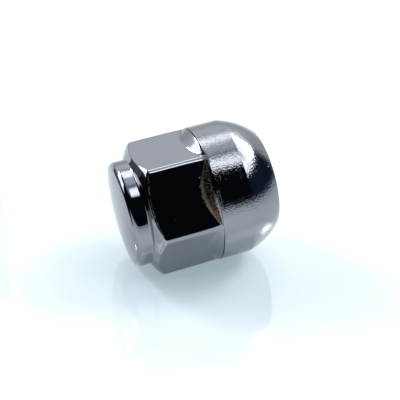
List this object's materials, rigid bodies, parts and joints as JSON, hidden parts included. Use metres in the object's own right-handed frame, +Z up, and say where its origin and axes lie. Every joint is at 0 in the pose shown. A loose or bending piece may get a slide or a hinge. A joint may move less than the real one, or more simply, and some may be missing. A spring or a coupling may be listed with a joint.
{
  "type": "lug nut",
  "caption": "Closed-end chrome wheel lug nut: round cap, hexagon with chamfered end, round collar and spherical ball seat around a blind metric thread.",
  "frame": {"origin": "middle of the footprint box, on the surface that the nut lies on", "axes": "+Z up as the nut lies at rest; +X is the thread axis's horizontal direction, from the closed cap to the open mouth; the thread axis climbs 7.8 degrees from +X towards +Z"},
  "size_m": [0.0254, 0.0218, 0.0223],
  "materials": {
    "chrome_plate": "dark polished chrome plate over cold-forged steel, fine grain on the collar and seat, tea-coloured stain in one shoulder"
  },
  "bodies": {
    "root": {"lug_nut": "chrome_plate"}
  },
  "joints": []
}
